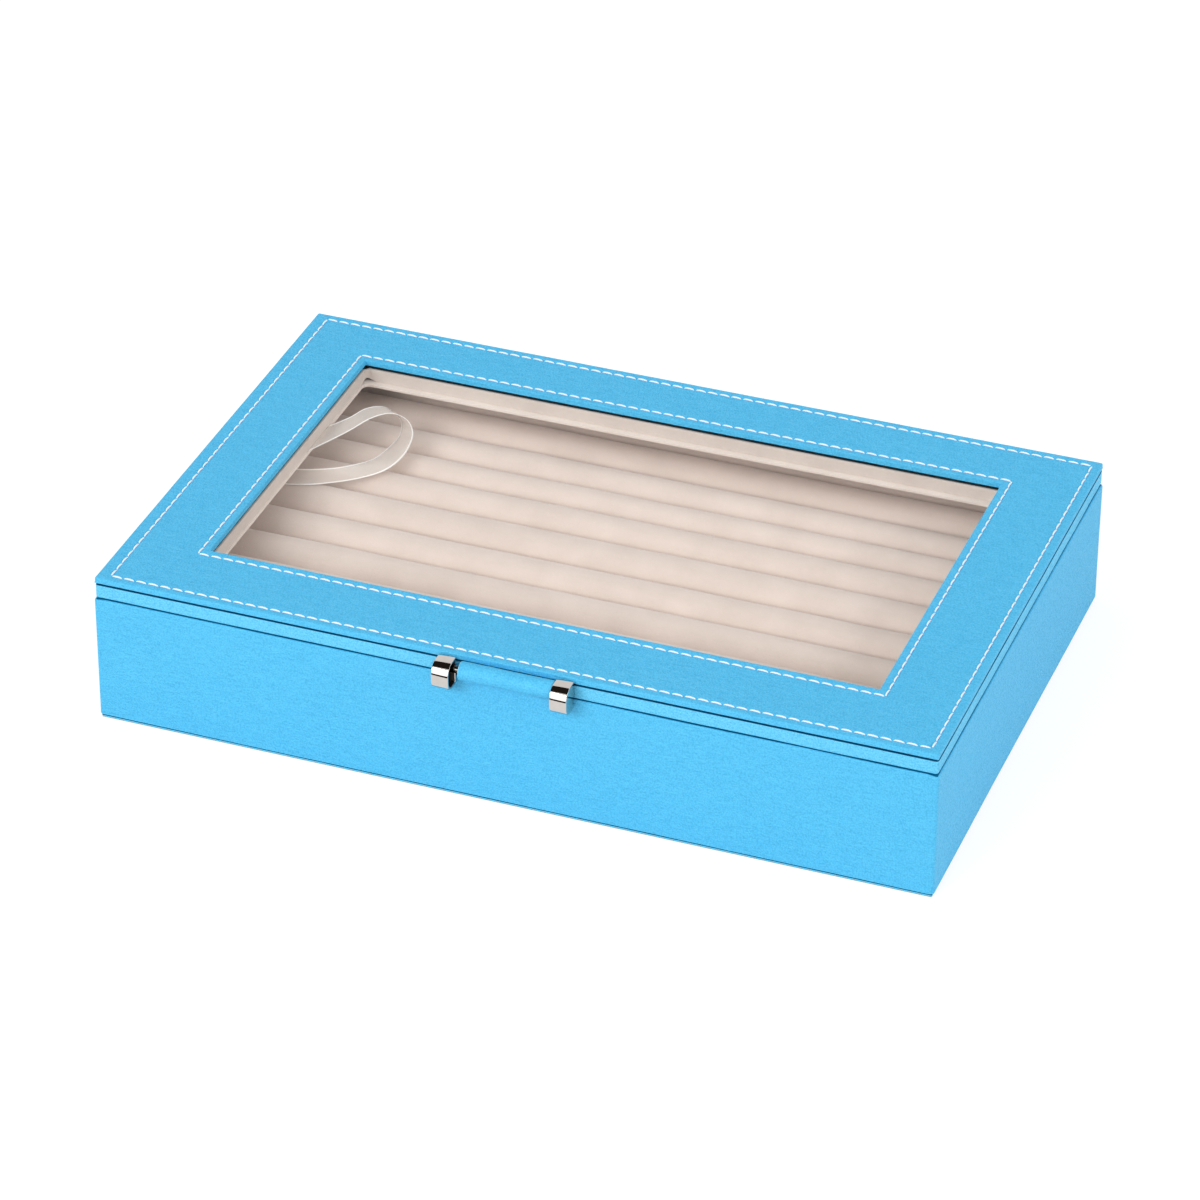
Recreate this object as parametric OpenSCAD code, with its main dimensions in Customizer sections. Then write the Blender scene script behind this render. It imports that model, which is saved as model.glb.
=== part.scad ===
// Ring display box: a leather-wrapped case with a glazed, stitched lid on two butt
// hinges, a bed of velvet ring rolls inside, a ribbon stay and a roll handle.
// Millimetres. +X right, front at -Y, +Z up, origin at the middle of the underside.

/* [Case] */
// Width of the case, left to right
case_w = 291.5; // [240:0.5:340]
// Depth of the case, front to back
case_d = 190; // [160:1:240]
// Height of the base up to its rim
base_h = 47; // [40:0.5:60]
// Gap between the base rim and the closed lid
seam_gap = 0.4; // [0.3:0.1:0.8]
// Thickness of the wall boards
board_t = 8; // [6:0.5:10]
// Thickness of the leather with its foam backing
leather_t = 0.8; // [0.6:0.1:1]
// Radius of the leather over the base's edges and corners
edge_r = 1.2; // [0.9:0.1:1.5]
// Thickness of the cover under the base
bottom_t = 1.5; // [1:0.1:3]
// Distance of the bottom cover's edge from the wall face
bottom_inset = 0.6; // [0.3:0.1:1]
// Thickness of the floor board between the walls
floor_t = 2.5; // [2:0.1:4]
// Thickness of the velvet-covered lining boards
lining_t = 1.7; // [1.2:0.1:2.5]
// Distance of the lining's top edge below the rim
lining_drop = 0.6; // [0.3:0.1:2]

/* [Ring rolls] */
// Distance of the roll crests below the rim
roll_drop = 10.2; // [8:0.1:14]
// Slit between neighbouring rolls
roll_slit = 0.3; // [0.2:0.1:1]
// Gap between a roll's end and the lining
roll_end_gap = 0.4; // [0.3:0.1:1]
// Radius of the velvet drawn in over a roll's ends
roll_end_r = 2.4; // [1:0.1:4]
// Thickness of the board that the rolls are glued to
insert_t = 2; // [1:0.1:3]
// Gap round the insert board
insert_gap = 0.3; // [0.2:0.1:1]

/* [Lid] */
// Height of the leather band round the lid frame
band_h = 5.6; // [5:0.1:8]
// Radius of the band's edges
band_r = 0.8; // [0.5:0.1:1]
// Thickness of the top panel with its leather
panel_t = 2; // [1.8:0.1:3]
// Radius of the top panel's edges
panel_r = 0.8; // [0.6:0.1:0.9]
// Distance of the lid's edge inside the base's edge
lid_inset = 0.5; // [0.2:0.1:1]
// Width of the lid margin in front of the window
margin_front = 28.9; // [24:0.1:34]
// Width of the lid margin behind the window
margin_back = 25.3; // [22:0.1:34]
// Width of the lid margin at each side of the window
margin_side = 28.7; // [24:0.1:34]
// Thickness of the glass pane
glass_t = 1.6; // [1.2:0.1:2]
// Distance that the glass runs under the lid margin
glass_lap = 4; // [2:0.1:6]
// Gap between the glass edge and its rebate
glass_gap = 0.3; // [0.2:0.1:0.6]
// Height of the locating tongue below the band
tongue_h = 0.5; // [0.5:0.1:2]
// Gap between the tongue and the lining of the base
tongue_gap = 0.8; // [0.5:0.1:1.2]
// Thickness of the velvet on the inner edge of the frame
edge_velvet_t = 0.8; // [0.5:0.1:1.2]
// Thickness of the lining boards under the lid
lid_card_t = 1; // [0.8:0.1:2]
// Distance that those boards stand out into the window
card_ledge = 2.3; // [1:0.1:4]

/* [Stitching] */
// Distance of the outer stitch line from the lid's front and back edges
stitch_outer = 3.1; // [2.5:0.1:6]
// Distance of that line from the lid's two ends, halfway between both
stitch_end = 3.9; // [3:0.1:6]
// Distance that it is sewn to the right of the middle
stitch_shift = 0.8; // [0:0.1:1.4]
// Distance of the inner stitch line from the window
stitch_inner = 2.9; // [2:0.1:5]
// Distance from one stitch to the next
stitch_pitch = 4.3; // [3.8:0.05:6]
// Length of the thread that shows between two holes
stitch_l = 3.1; // [2:0.1:3.3]
// Thickness of the thread
thread_d = 0.6; // [0.4:0.05:0.7]
// Width of the groove that the stitches pull into the leather
stitch_groove_w = 1; // [1:0.05:1.4]
// Depth of that groove
stitch_groove_d = 0.4; // [0.2:0.05:0.5]
// Slant of each stitch to its line, in degrees
stitch_slant = 5; // [0:0.5:5]

/* [Handle] */
// Distance between the mouths of the two end caps
grip_l = 34.6; // [25:0.1:60]
// Diameter of the leather roll
grip_d = 6.3; // [5:0.1:8]
// Diameter of the steel rod inside the roll
rod_d = 2.4; // [1.6:0.1:3.5]
// Gap between the left end of the roll and its cap, where the rod shows
grip_short = 2.2; // [0.2:0.1:4]
// Gap between the roll and the face of the lid
grip_gap = 0.1; // [0.1:0.1:0.5]
// Height of the roll's middle above the rim
grip_rise = 4.2; // [3:0.1:5]
// Distance of the handle's middle to the right of the middle of the case
handle_x = 0.4; // [0:0.1:10]
// Width of an end cap
cap_w = 6; // [4:0.1:10]
// Depth of an end cap, front to back
cap_d = 7.3; // [6.6:0.1:10]
// Height of an end cap
cap_h = 10; // [9:0.1:14]
// Radius of an end cap's front corners
cap_r = 4; // [1.5:0.1:4.2]
// Wall of an end cap
cap_wall = 0.8; // [0.6:0.1:1]
// Gap between the caps and the face of the base
cap_gap = 0.3; // [0.2:0.1:0.6]
// Height of the caps' middle above the rim
cap_rise = 2.3; // [1.5:0.1:3.5]
// Diameter of the spike that holds a cap on the lid frame
spike_d = 2; // [1.2:0.1:2.4]
// Length of that spike in the frame
spike_l = 12; // [8:0.5:16]

/* [Hinges] */
// Distance of each hinge's middle from the end of the case
hinge_end = 57; // [50:1:85]
// Width of a hinge
hinge_w = 24; // [18:1:40]
// Depth of a hinge leaf on its board
leaf_d = 7; // [6.5:0.1:7.5]
// Gap between the two leaves of a closed hinge
leaf_gap = 0.2; // [0.1:0.05:0.3]
// Gap round a leaf in the leather
leaf_pocket = 0.2; // [0.1:0.05:0.5]
// Radius of the hinge barrel
barrel_r = 1.8; // [1.6:0.1:2.5]
// Gap between the barrel and the back of the case
barrel_gap = 0.3; // [0.2:0.1:1]
// Radius of the hinge pin
hinge_pin_r = 0.8; // [0.6:0.05:1]
// Running clearance round the hinge pin
pin_clear = 0.05; // [0.02:0.01:0.08]
// Gap between neighbouring knuckles
knuckle_gap = 0.25; // [0.15:0.05:0.5]
// Number of screws in each leaf
screw_count = 3; // [2:1:3]
// Diameter of the screw shanks
screw_d = 1.6; // [1.2:0.1:2]
// Diameter of the countersunk screw heads
screw_head_d = 3.2; // [2.6:0.1:4]
// Length of the screws in the base
base_screw_l = 8; // [6:0.5:12]
// Length of the screws in the lid
lid_screw_l = 3.6; // [3:0.1:4]
// Depth that a pilot hole goes past its screw
pilot_extra = 0.5; // [0.2:0.1:0.6]
// Gap round the screws and spikes in their holes
hole_clear = 0.05; // [0.02:0.01:0.1]

/* [Ribbon stay] */
// Width of the ribbon
ribbon_w = 10; // [6:0.5:10]
// Thickness of the ribbon
ribbon_t = 0.3; // [0.2:0.05:0.4]

/* [Hidden] */

// Small overlap that keeps cuts clean
cut = 0.01;
// Faces of a bore, pin or screw
round_fn = 48;
// Faces of a rounded leather edge
edge_fn = 16;
// Sides of a rectangle of the lid, in the order of its corners
FRONT = 0;
RIGHT = 1;
BACK = 2;
LEFT = 3;

// Base: walls, floor and lining
half_w = case_w / 2;
half_d = case_d / 2;
wall_top = base_h - leather_t;
wall_x = half_w - leather_t;
wall_y = half_d - leather_t;
wall_in_x = wall_x - board_t;
wall_in_y = wall_y - board_t;
floor_top = bottom_t + floor_t;
room_x = wall_in_x - lining_t;
room_y = wall_in_y - lining_t;
lining_top = base_h - lining_drop;

// Ring rolls: ten nodes share the depth of the room
roll_count = 10;
roll_pitch = 2 * room_y / roll_count;
roll_w = roll_pitch - roll_slit;
roll_l = 2 * (room_x - roll_end_gap);
roll_base = floor_top + insert_t;
roll_h = base_h - roll_drop - roll_base;

// Lid
lid_bottom = base_h + seam_gap;
lid_x = half_w - lid_inset;
lid_y = half_d - lid_inset;
band_top = lid_bottom + band_h;
panel_top = band_top + panel_t;
frame_bottom = lid_bottom + leather_t;
frame_inset = max(leather_t, band_r) + 0.1;
board_inset = max(leather_t, panel_r) + 0.1;
board_top = panel_top - leather_t;
tongue_bottom = lid_bottom - tongue_h;
card_bottom = tongue_bottom - lid_card_t;
glass_bottom = band_top - glass_t;
tongue_x = room_x - tongue_gap;
tongue_y = room_y - tongue_gap;
thread_z = panel_top - stitch_groove_d;

// Hinges
hinge_x = half_w - hinge_end;
pivot_z = base_h + seam_gap / 2;
pivot_y = half_d + barrel_gap + barrel_r;
leaf_t = leather_t + (seam_gap - leaf_gap) / 2;
leaf_in = wall_y - leaf_d;
knuckle_w = (hinge_w - 2 * knuckle_gap) / 3;
screw_step = hinge_w / screw_count;
screw_y = (leaf_in + wall_y) / 2;

// Handle
cap_x = grip_l / 2;
cap_back = -half_d - cap_gap;
cap_z = base_h + cap_rise;
grip_y = -lid_y - grip_gap - grip_d / 2;
grip_z = base_h + grip_rise;
spike_z = (frame_bottom + glass_bottom) / 2;
spike_boss_d = 1.7 * spike_d;

// The ribbon's two edges where it leaves the lid, cut at a slant, as [from the window
// edge, from the middle of the case, above the lid's lining boards]
ribbon_lid_end = [[0.3, 16.5, 0.4], [0.3, 35, 0.4]];
// The ribbon's outer edge from there round to the base's left lining, as [from that
// lining, from the middle of the case, above the rolls], and the way to its other edge
ribbon_loop = [
    [[26.5, 31.5, 11], [-2.5, 10, 0.5]],
    [[32, 41.5, 12.5], [-5, 8.5, -1.5]],
    [[37, 48, 12], [-5.5, 8, -3]],
    [[42, 50, 9.5], [-5.5, 7, -5]],
    [[45.5, 47, 7], [-7, 4.5, -5.5]],
    [[47, 40.5, 5.5], [-9, 1.5, -4]],
    [[46.5, 33, 4], [-10, -1, -1.5]],
    [[43.5, 25, 3], [-9.5, -3, 2.5]],
    [[37, 18, 2.5], [-8, -3.5, 4.5]],
    [[28.5, 12.5, 2], [-8.5, -2, 5]],
    [[19.5, 8.5, 1.5], [-9, 1.5, 4.5]],
    [[11, 7.5, 1.5], [-7.5, 6, 2.5]],
    [[0.3, 11, 4], [0, 10, 0]]
];
// Rings between one station of the ribbon and the next
ribbon_steps = 4;

// ---- Shapes ----

// A block from its low corner to its high corner
module block(low, high) {
    translate(low) cube(high - low);
}

// A block with rounded edges and corners
module soft_block(low, high, r) {
    a = low + [r, r, r];
    b = high - [r, r, r];
    hull()
        for (x = [a.x, b.x], y = [a.y, b.y], z = [a.z, b.z])
            translate([x, y, z]) sphere(r, $fn = edge_fn);
}

// A cylinder along X between two places
module x_cylinder(x0, x1, y, z, r) {
    translate([x0, y, z]) rotate([0, 90, 0]) cylinder(h = x1 - x0, r = r, $fn = round_fn);
}

// A rectangle of the lid as [half width, front, back]: one centred on the case, and the
// window grown on all sides
function centred(x, y) = [x, -y, y];
function window(grow) =
    [lid_x - margin_side + grow, -lid_y + margin_front - grow, lid_y - margin_back + grow];
function corners(rect) =
    [[-rect.x, rect.y], [rect.x, rect.y], [rect.x, rect.z], [-rect.x, rect.z]];

// A rectangle as a slab between two heights
module slab(rect, low_z, high_z) {
    block([-rect.x, rect.y, low_z], [rect.x, rect.z, high_z]);
}

// One side of the ring between two rectangles, mitred at its corners
module mitred_side(side, outer, inner, low_z, high_z) {
    out = corners(outer);
    inn = corners(inner);
    next = (side + 1) % 4;
    translate([0, 0, low_z]) linear_extrude(high_z - low_z)
        polygon([out[side], out[next], inn[next], inn[side]]);
}

// ---- Base ----

module bottom_cover() {
    color("deepskyblue")
        slab(centred(half_w - bottom_inset, half_d - bottom_inset), 0, bottom_t);
}

module floor_board() {
    color("burlywood") slab(centred(wall_in_x, wall_in_y), bottom_t, floor_top);
}

// The front and back walls run the full width, with the side walls between them
module long_wall(low_y) {
    block([-wall_x, low_y, bottom_t], [wall_x, low_y + board_t, wall_top]);
}

module side_wall(low_x) {
    block([low_x, -wall_in_y, bottom_t], [low_x + board_t, wall_in_y, wall_top]);
}

module front_wall() {
    color("burlywood") long_wall(-wall_y);
}

module back_wall() {
    color("burlywood") difference() {
        long_wall(wall_in_y);
        each_screw(wall_top) rotate([180, 0, 0]) pilot_hole(base_screw_l);
    }
}

module left_wall() {
    color("burlywood") side_wall(-wall_x);
}

module right_wall() {
    color("burlywood") side_wall(wall_in_x);
}

// Leather over the outside of the walls and their rim, open for the hinge leaves
module base_leather() {
    color("deepskyblue") difference() {
        soft_block([-half_w, -half_d, bottom_t - edge_r], [half_w, half_d, base_h], edge_r);
        slab(centred(wall_in_x, wall_in_y), -edge_r, base_h + cut);
        slab(centred(wall_x, wall_y), -edge_r, wall_top);
        slab(centred(half_w + cut, half_d + cut), -edge_r, bottom_t);
        each_hinge_pocket(wall_top, base_h);
    }
}

module long_lining(low_y) {
    block([-wall_in_x, low_y, floor_top], [wall_in_x, low_y + lining_t, lining_top]);
}

module side_lining(low_x) {
    block([low_x, -room_y, floor_top], [low_x + lining_t, room_y, lining_top]);
}

module front_lining() {
    color("bisque") long_lining(-wall_in_y);
}

module back_lining() {
    color("bisque") long_lining(room_y);
}

module left_lining() {
    color("bisque") side_lining(-wall_in_x);
}

module right_lining() {
    color("bisque") side_lining(room_x);
}

module insert_board() {
    color("tan") slab(centred(room_x - insert_gap, room_y - insert_gap), floor_top, roll_base);
}

// Outline of a roll across its length, with straight sides and a round crest
module roll_outline(inset) {
    r = roll_w / 2 - inset;
    crest_z = roll_h - roll_w / 2;
    translate([0, crest_z]) circle(r, $fn = 32);
    translate([-r, 0]) square([2 * r, crest_z]);
}

// A velvet roll, drawn in over its ends in steps of a quarter round
module ring_roll(index) {
    y = -room_y + roll_pitch * (index - 0.5);
    color("bisque") translate([0, y, roll_base]) rotate([90, 0, 90]) hull()
        for (turn = [0, 30, 60, 90]) {
            half_l = roll_l / 2 - roll_end_r * (1 - cos(turn));
            translate([0, 0, -half_l]) linear_extrude(2 * half_l)
                roll_outline(roll_end_r * (1 - sin(turn)) / 2);
        }
}

// ---- Hinges ----

// Puts its children at every hinge screw, at one height
module each_screw(z) {
    for (x = [-hinge_x, hinge_x], i = [0:screw_count - 1])
        translate([x + screw_step * (i - (screw_count - 1) / 2), screw_y, z]) children();
}

// A hole for a screw of some length, pointing up from z = 0
module pilot_hole(length) {
    translate([0, 0, -cut])
        cylinder(h = length + pilot_extra + cut, d = screw_d + 2 * hole_clear, $fn = round_fn);
}

// A countersunk screw pointing up, with its head in a leaf that ends at z = 0
module screw(length, grow) {
    translate([0, 0, -leaf_t])
        cylinder(h = leaf_t, d1 = screw_head_d + 2 * grow, d2 = screw_d + 2 * grow,
                 $fn = round_fn);
    translate([0, 0, -cut]) cylinder(h = length + cut, d = screw_d + 2 * grow, $fn = round_fn);
}

// The places where the hinge leaves break the leather, between two heights
module each_hinge_pocket(low_z, high_z) {
    reach = hinge_w / 2 + leaf_pocket;
    for (x = [-hinge_x, hinge_x])
        block([x - reach, leaf_in - leaf_pocket, low_z - cut],
              [x + reach, half_d + cut, high_z + cut]);
}

// One hinge leaf at x, with its knuckles on the pivot
module hinge_leaf(x, low_z, knuckles) {
    color("silver") difference() {
        union() {
            block([x - hinge_w / 2, leaf_in, low_z], [x + hinge_w / 2, wall_y, low_z + leaf_t]);
            for (k = knuckles) {
                x0 = x - hinge_w / 2 + k * (knuckle_w + knuckle_gap);
                block([x0, wall_y - cut, low_z], [x0 + knuckle_w, pivot_y, low_z + leaf_t]);
                x_cylinder(x0, x0 + knuckle_w, pivot_y, pivot_z, barrel_r);
            }
        }
        x_cylinder(x - hinge_w, x + hinge_w, pivot_y, pivot_z, hinge_pin_r + pin_clear);
        if (knuckles == [1])
            each_screw(frame_bottom) screw(cut, hole_clear);
        else
            each_screw(wall_top) rotate([180, 0, 0]) screw(cut, hole_clear);
    }
}

module base_hinge_leaf_left() {
    hinge_leaf(-hinge_x, wall_top, [0, 2]);
}

module base_hinge_leaf_right() {
    hinge_leaf(hinge_x, wall_top, [0, 2]);
}

module lid_hinge_leaf_left() {
    hinge_leaf(-hinge_x, frame_bottom - leaf_t, [1]);
}

module lid_hinge_leaf_right() {
    hinge_leaf(hinge_x, frame_bottom - leaf_t, [1]);
}

module hinge_pin(x) {
    color("gainsboro")
        x_cylinder(x - hinge_w / 2, x + hinge_w / 2, pivot_y, pivot_z, hinge_pin_r);
}

module hinge_pin_left() {
    hinge_pin(-hinge_x);
}

module hinge_pin_right() {
    hinge_pin(hinge_x);
}

module base_hinge_screws() {
    color("gainsboro") each_screw(wall_top) rotate([180, 0, 0]) screw(base_screw_l, 0);
}

module lid_hinge_screws() {
    color("gainsboro") each_screw(frame_bottom) screw(lid_screw_l, 0);
}

// ---- Lid ----

// A board of the lid frame, with its locating tongue and the rebate for the glass
module lid_frame(side) {
    outer = centred(lid_x - frame_inset, lid_y - frame_inset);
    difference() {
        union() {
            mitred_side(side, outer, window(edge_velvet_t), frame_bottom, band_top);
            mitred_side(side, centred(tongue_x, tongue_y), window(edge_velvet_t),
                        tongue_bottom, frame_bottom);
        }
        slab(window(glass_lap + glass_gap), glass_bottom, band_top + cut);
    }
}

module lid_frame_front() {
    color("burlywood") difference() {
        lid_frame(FRONT);
        each_spike() cylinder(h = spike_l + pilot_extra, d = spike_d + 2 * hole_clear,
                              $fn = round_fn);
    }
}

module lid_frame_back() {
    color("burlywood") difference() {
        lid_frame(BACK);
        each_screw(frame_bottom) pilot_hole(lid_screw_l);
    }
}

module lid_frame_left() {
    color("burlywood") lid_frame(LEFT);
}

module lid_frame_right() {
    color("burlywood") lid_frame(RIGHT);
}

// Leather round the frame and under it as far as the tongue
module lid_band_leather() {
    color("deepskyblue") difference() {
        soft_block([-lid_x, -lid_y, lid_bottom], [lid_x, lid_y, band_top], band_r);
        slab(centred(lid_x - frame_inset, lid_y - frame_inset), frame_bottom, band_top + cut);
        slab(centred(tongue_x, tongue_y), lid_bottom - cut, band_top + cut);
        each_hinge_pocket(lid_bottom, frame_bottom);
        each_spike() translate([0, 0, -2 * frame_inset])
            cylinder(h = 4 * frame_inset, d = spike_d + 2 * hole_clear, $fn = round_fn);
    }
}

module glass_pane() {
    color([0.85, 0.95, 0.95, 0.3]) slab(window(glass_lap), glass_bottom, band_top);
}

// Velvet glued to the frame's inner edge, flush with the window
module edge_velvet(side) {
    color("bisque")
        mitred_side(side, window(edge_velvet_t), window(0), tongue_bottom, glass_bottom);
}

module edge_velvet_front() {
    edge_velvet(FRONT);
}

module edge_velvet_back() {
    edge_velvet(BACK);
}

module edge_velvet_left() {
    edge_velvet(LEFT);
}

module edge_velvet_right() {
    edge_velvet(RIGHT);
}

// Velvet-covered board under the frame, standing out into the window as a ledge
module lid_lining(side) {
    color("bisque") mitred_side(side, centred(tongue_x, tongue_y), window(-card_ledge),
                                card_bottom, tongue_bottom);
}

module lid_lining_front() {
    lid_lining(FRONT);
}

module lid_lining_back() {
    lid_lining(BACK);
}

module lid_lining_left() {
    lid_lining(LEFT);
}

module lid_lining_right() {
    lid_lining(RIGHT);
}

// Card ring inside the top panel
module panel_board() {
    color("tan") difference() {
        slab(centred(lid_x - board_inset, lid_y - board_inset), band_top, board_top);
        slab(window(board_inset), band_top - cut, board_top + cut);
    }
}

// The leather of the top panel: four soft-edged margins, with the stitches' grooves
module panel_leather() {
    hole = corners(window(0));
    r = min(panel_r, panel_t / 2 - 0.05);
    color("deepskyblue") difference() {
        union() {
            soft_block([-lid_x, -lid_y, band_top], [lid_x, hole[0].y, panel_top], r);
            soft_block([-lid_x, hole[2].y, band_top], [lid_x, lid_y, panel_top], r);
            soft_block([-lid_x, -lid_y, band_top], [hole[0].x, lid_y, panel_top], r);
            soft_block([hole[1].x, -lid_y, band_top], [lid_x, lid_y, panel_top], r);
        }
        panel_board();
        translate([stitch_shift, 0, 0]) stitch_groove(outer_line());
        stitch_groove(window(stitch_inner));
    }
}

// The outer stitch line, before it is shifted to the right
function outer_line() = centred(lid_x - stitch_end, lid_y - stitch_outer);

module stitch_groove(line) {
    w = stitch_groove_w / 2;
    difference() {
        slab(line + [w, -w, w], thread_z, panel_top + cut);
        slab(line + [-w, w, -w], thread_z - cut, panel_top + 2 * cut);
    }
}

// Stitches along a rectangle, a whole number to each side
module stitch_line(line) {
    corner = corners(line);
    color("white") for (side = [FRONT, RIGHT, BACK, LEFT]) {
        from = corner[side];
        to = corner[(side + 1) % 4];
        along = to - from;
        count = floor(norm(along) / stitch_pitch);
        for (i = [0:count - 1])
            translate(from + along * (i + 0.5) / count)
                rotate(atan2(along.y, along.x) + stitch_slant)
                    translate([-stitch_l / 2, -thread_d / 2, thread_z])
                        cube([stitch_l, thread_d, stitch_groove_d]);
    }
}

module outer_stitching() {
    translate([stitch_shift, 0, 0]) stitch_line(outer_line());
}

module inner_stitching() {
    stitch_line(window(stitch_inner));
}

// ---- Handle ----

// Puts its children on the frame's front face behind each cap, pointing into the frame
module each_spike() {
    for (side = [-1, 1]) spike_place(handle_x + side * (cap_x + cap_w / 2)) children();
}

module spike_place(x) {
    translate([x, -lid_y + frame_inset, spike_z]) rotate([-90, 0, 0]) children();
}

// Outline of a cap seen from the side, square at the back and round at the front
module cap_outline(inset) {
    r = cap_r - inset;
    low = cap_z - cap_h / 2 + inset;
    high = cap_z + cap_h / 2 - inset;
    front = cap_back - cap_d + inset;
    back = cap_back - inset;
    translate([front + r, low]) square([back - front - r, high - low]);
    translate([front, low + r]) square([back - front, high - low - 2 * r]);
    for (z = [low + r, high - r]) translate([front + r, z]) circle(r, $fn = round_fn);
}

// A hollow cap open towards the roll, on a spike that goes into the lid frame
module handle_cap(side) {
    middle = handle_x + side * (cap_x + cap_w / 2);
    skin = lid_y - frame_inset;
    color("silver") {
        difference() {
            translate([middle - cap_w / 2, 0, 0]) rotate([90, 0, 90])
                linear_extrude(cap_w) cap_outline(0);
            translate([middle - cap_w / 2 - side * cap_wall, 0, 0]) rotate([90, 0, 90])
                linear_extrude(cap_w) cap_outline(cap_wall);
        }
        translate([middle, cap_back - cut, spike_z]) rotate([-90, 0, 0])
            cylinder(h = -lid_y - cap_back + cut, d = spike_boss_d, $fn = round_fn);
        translate([middle, cap_back - cut, spike_z]) rotate([-90, 0, 0])
            cylinder(h = spike_l - skin - cap_back, d = spike_d, $fn = round_fn);
    }
}

module handle_cap_left() {
    handle_cap(-1);
}

module handle_cap_right() {
    handle_cap(1);
}

module handle_rod() {
    reach = cap_x + cap_w - cap_wall;
    color("silver") x_cylinder(handle_x - reach, handle_x + reach, grip_y, grip_z, rod_d / 2);
}

// The leather roll on the rod, with softened ends
module handle_grip() {
    x0 = handle_x - cap_x + grip_short;
    x1 = handle_x + cap_x;
    r = grip_d / 2;
    soft = 0.6;
    color("deepskyblue") difference() {
        union() {
            x_cylinder(x0 + soft, x1 - soft, grip_y, grip_z, r);
            translate([x0, grip_y, grip_z]) rotate([0, 90, 0])
                cylinder(h = soft, r1 = r - soft, r2 = r, $fn = round_fn);
            translate([x1 - soft, grip_y, grip_z]) rotate([0, 90, 0])
                cylinder(h = soft, r1 = r, r2 = r - soft, $fn = round_fn);
        }
        x_cylinder(x0 - cut, x1 + cut, grip_y, grip_z, rod_d / 2 + hole_clear);
    }
}

// ---- Ribbon stay ----

function unit(v) = v / norm(v);

// Both edges at each station, from the lid to the base
function ribbon_stations() = concat(
    [[for (p = ribbon_lid_end) [p.x - window(0).x, p.y, p.z + tongue_bottom]]],
    [for (station = ribbon_loop)
        let (outer = station[0] + [-room_x, 0, roll_base + roll_h])
        [outer, outer + ribbon_w * unit(station[1])]]
);

// The point at t, from 0 to 1, of the smooth curve that passes b and then c
function curve_point(a, b, c, d, t) =
    (2 * b + (c - a) * t + (2 * a - 5 * b + 4 * c - d) * t * t
        + (3 * b - a - 3 * c + d) * t * t * t) / 2;

function smooth_edges(stations) =
    let (last = len(stations) - 1)
    concat(
        [for (i = [0:last - 1], step = [0:ribbon_steps - 1])
            [for (edge = [0, 1])
                curve_point(stations[max(i - 1, 0)][edge], stations[i][edge],
                            stations[i + 1][edge], stations[min(i + 2, last)][edge],
                            step / ribbon_steps)]],
        [stations[last]]
    );

// A thin strip between its two edges, as one closed solid
module stay_ribbon() {
    edges = smooth_edges(ribbon_stations());
    last = len(edges) - 1;
    middles = [for (e = edges) (e[0] + e[1]) / 2];
    rings = [for (i = [0:last])
        let (ahead = middles[min(i + 1, last)] - middles[max(i - 1, 0)],
             up = unit(cross(ahead, edges[i][1] - edges[i][0])) * ribbon_t / 2)
        [edges[i][0] - up, edges[i][1] - up, edges[i][1] + up, edges[i][0] + up]];
    sides = [for (i = [0:last - 1], k = [0:3])
        let (a = 4 * i + k, b = 4 * i + (k + 1) % 4)
        each [[a, b, b + 4], [a, b + 4, a + 4]]];
    start = [[0, 2, 1], [0, 3, 2]];
    end = [for (f = [[0, 1, 2], [0, 2, 3]]) [for (k = f) 4 * last + k]];
    color("whitesmoke") polyhedron([for (ring = rings) each ring], concat(start, sides, end));
}

bottom_cover();
floor_board();
front_wall();
back_wall();
left_wall();
right_wall();
base_leather();
front_lining();
back_lining();
left_lining();
right_lining();
insert_board();
ring_roll(1);  // ring_roll_01
ring_roll(2);  // ring_roll_02
ring_roll(3);  // ring_roll_03
ring_roll(4);  // ring_roll_04
ring_roll(5);  // ring_roll_05
ring_roll(6);  // ring_roll_06
ring_roll(7);  // ring_roll_07
ring_roll(8);  // ring_roll_08
ring_roll(9);  // ring_roll_09
ring_roll(10);  // ring_roll_10
base_hinge_leaf_left();
base_hinge_leaf_right();
hinge_pin_left();
hinge_pin_right();
base_hinge_screws();
lid_frame_front();
lid_frame_back();
lid_frame_left();
lid_frame_right();
lid_band_leather();
glass_pane();
edge_velvet_front();
edge_velvet_back();
edge_velvet_left();
edge_velvet_right();
lid_lining_front();
lid_lining_back();
lid_lining_left();
lid_lining_right();
panel_board();
panel_leather();
outer_stitching();
inner_stitching();
handle_cap_left();
handle_cap_right();
handle_rod();
handle_grip();
lid_hinge_leaf_left();
lid_hinge_leaf_right();
lid_hinge_screws();
stay_ribbon();
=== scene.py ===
"""Ring display box: a leather-wrapped case with a glazed and stitched lid, velvet ring
rolls, a sheer ribbon stay and a leather roll handle on chrome caps.
Metres, +X right, front at -Y, +Z up, the case standing on z = 0."""

import math

import bmesh
import bpy
from mathutils import Matrix, Vector


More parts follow.
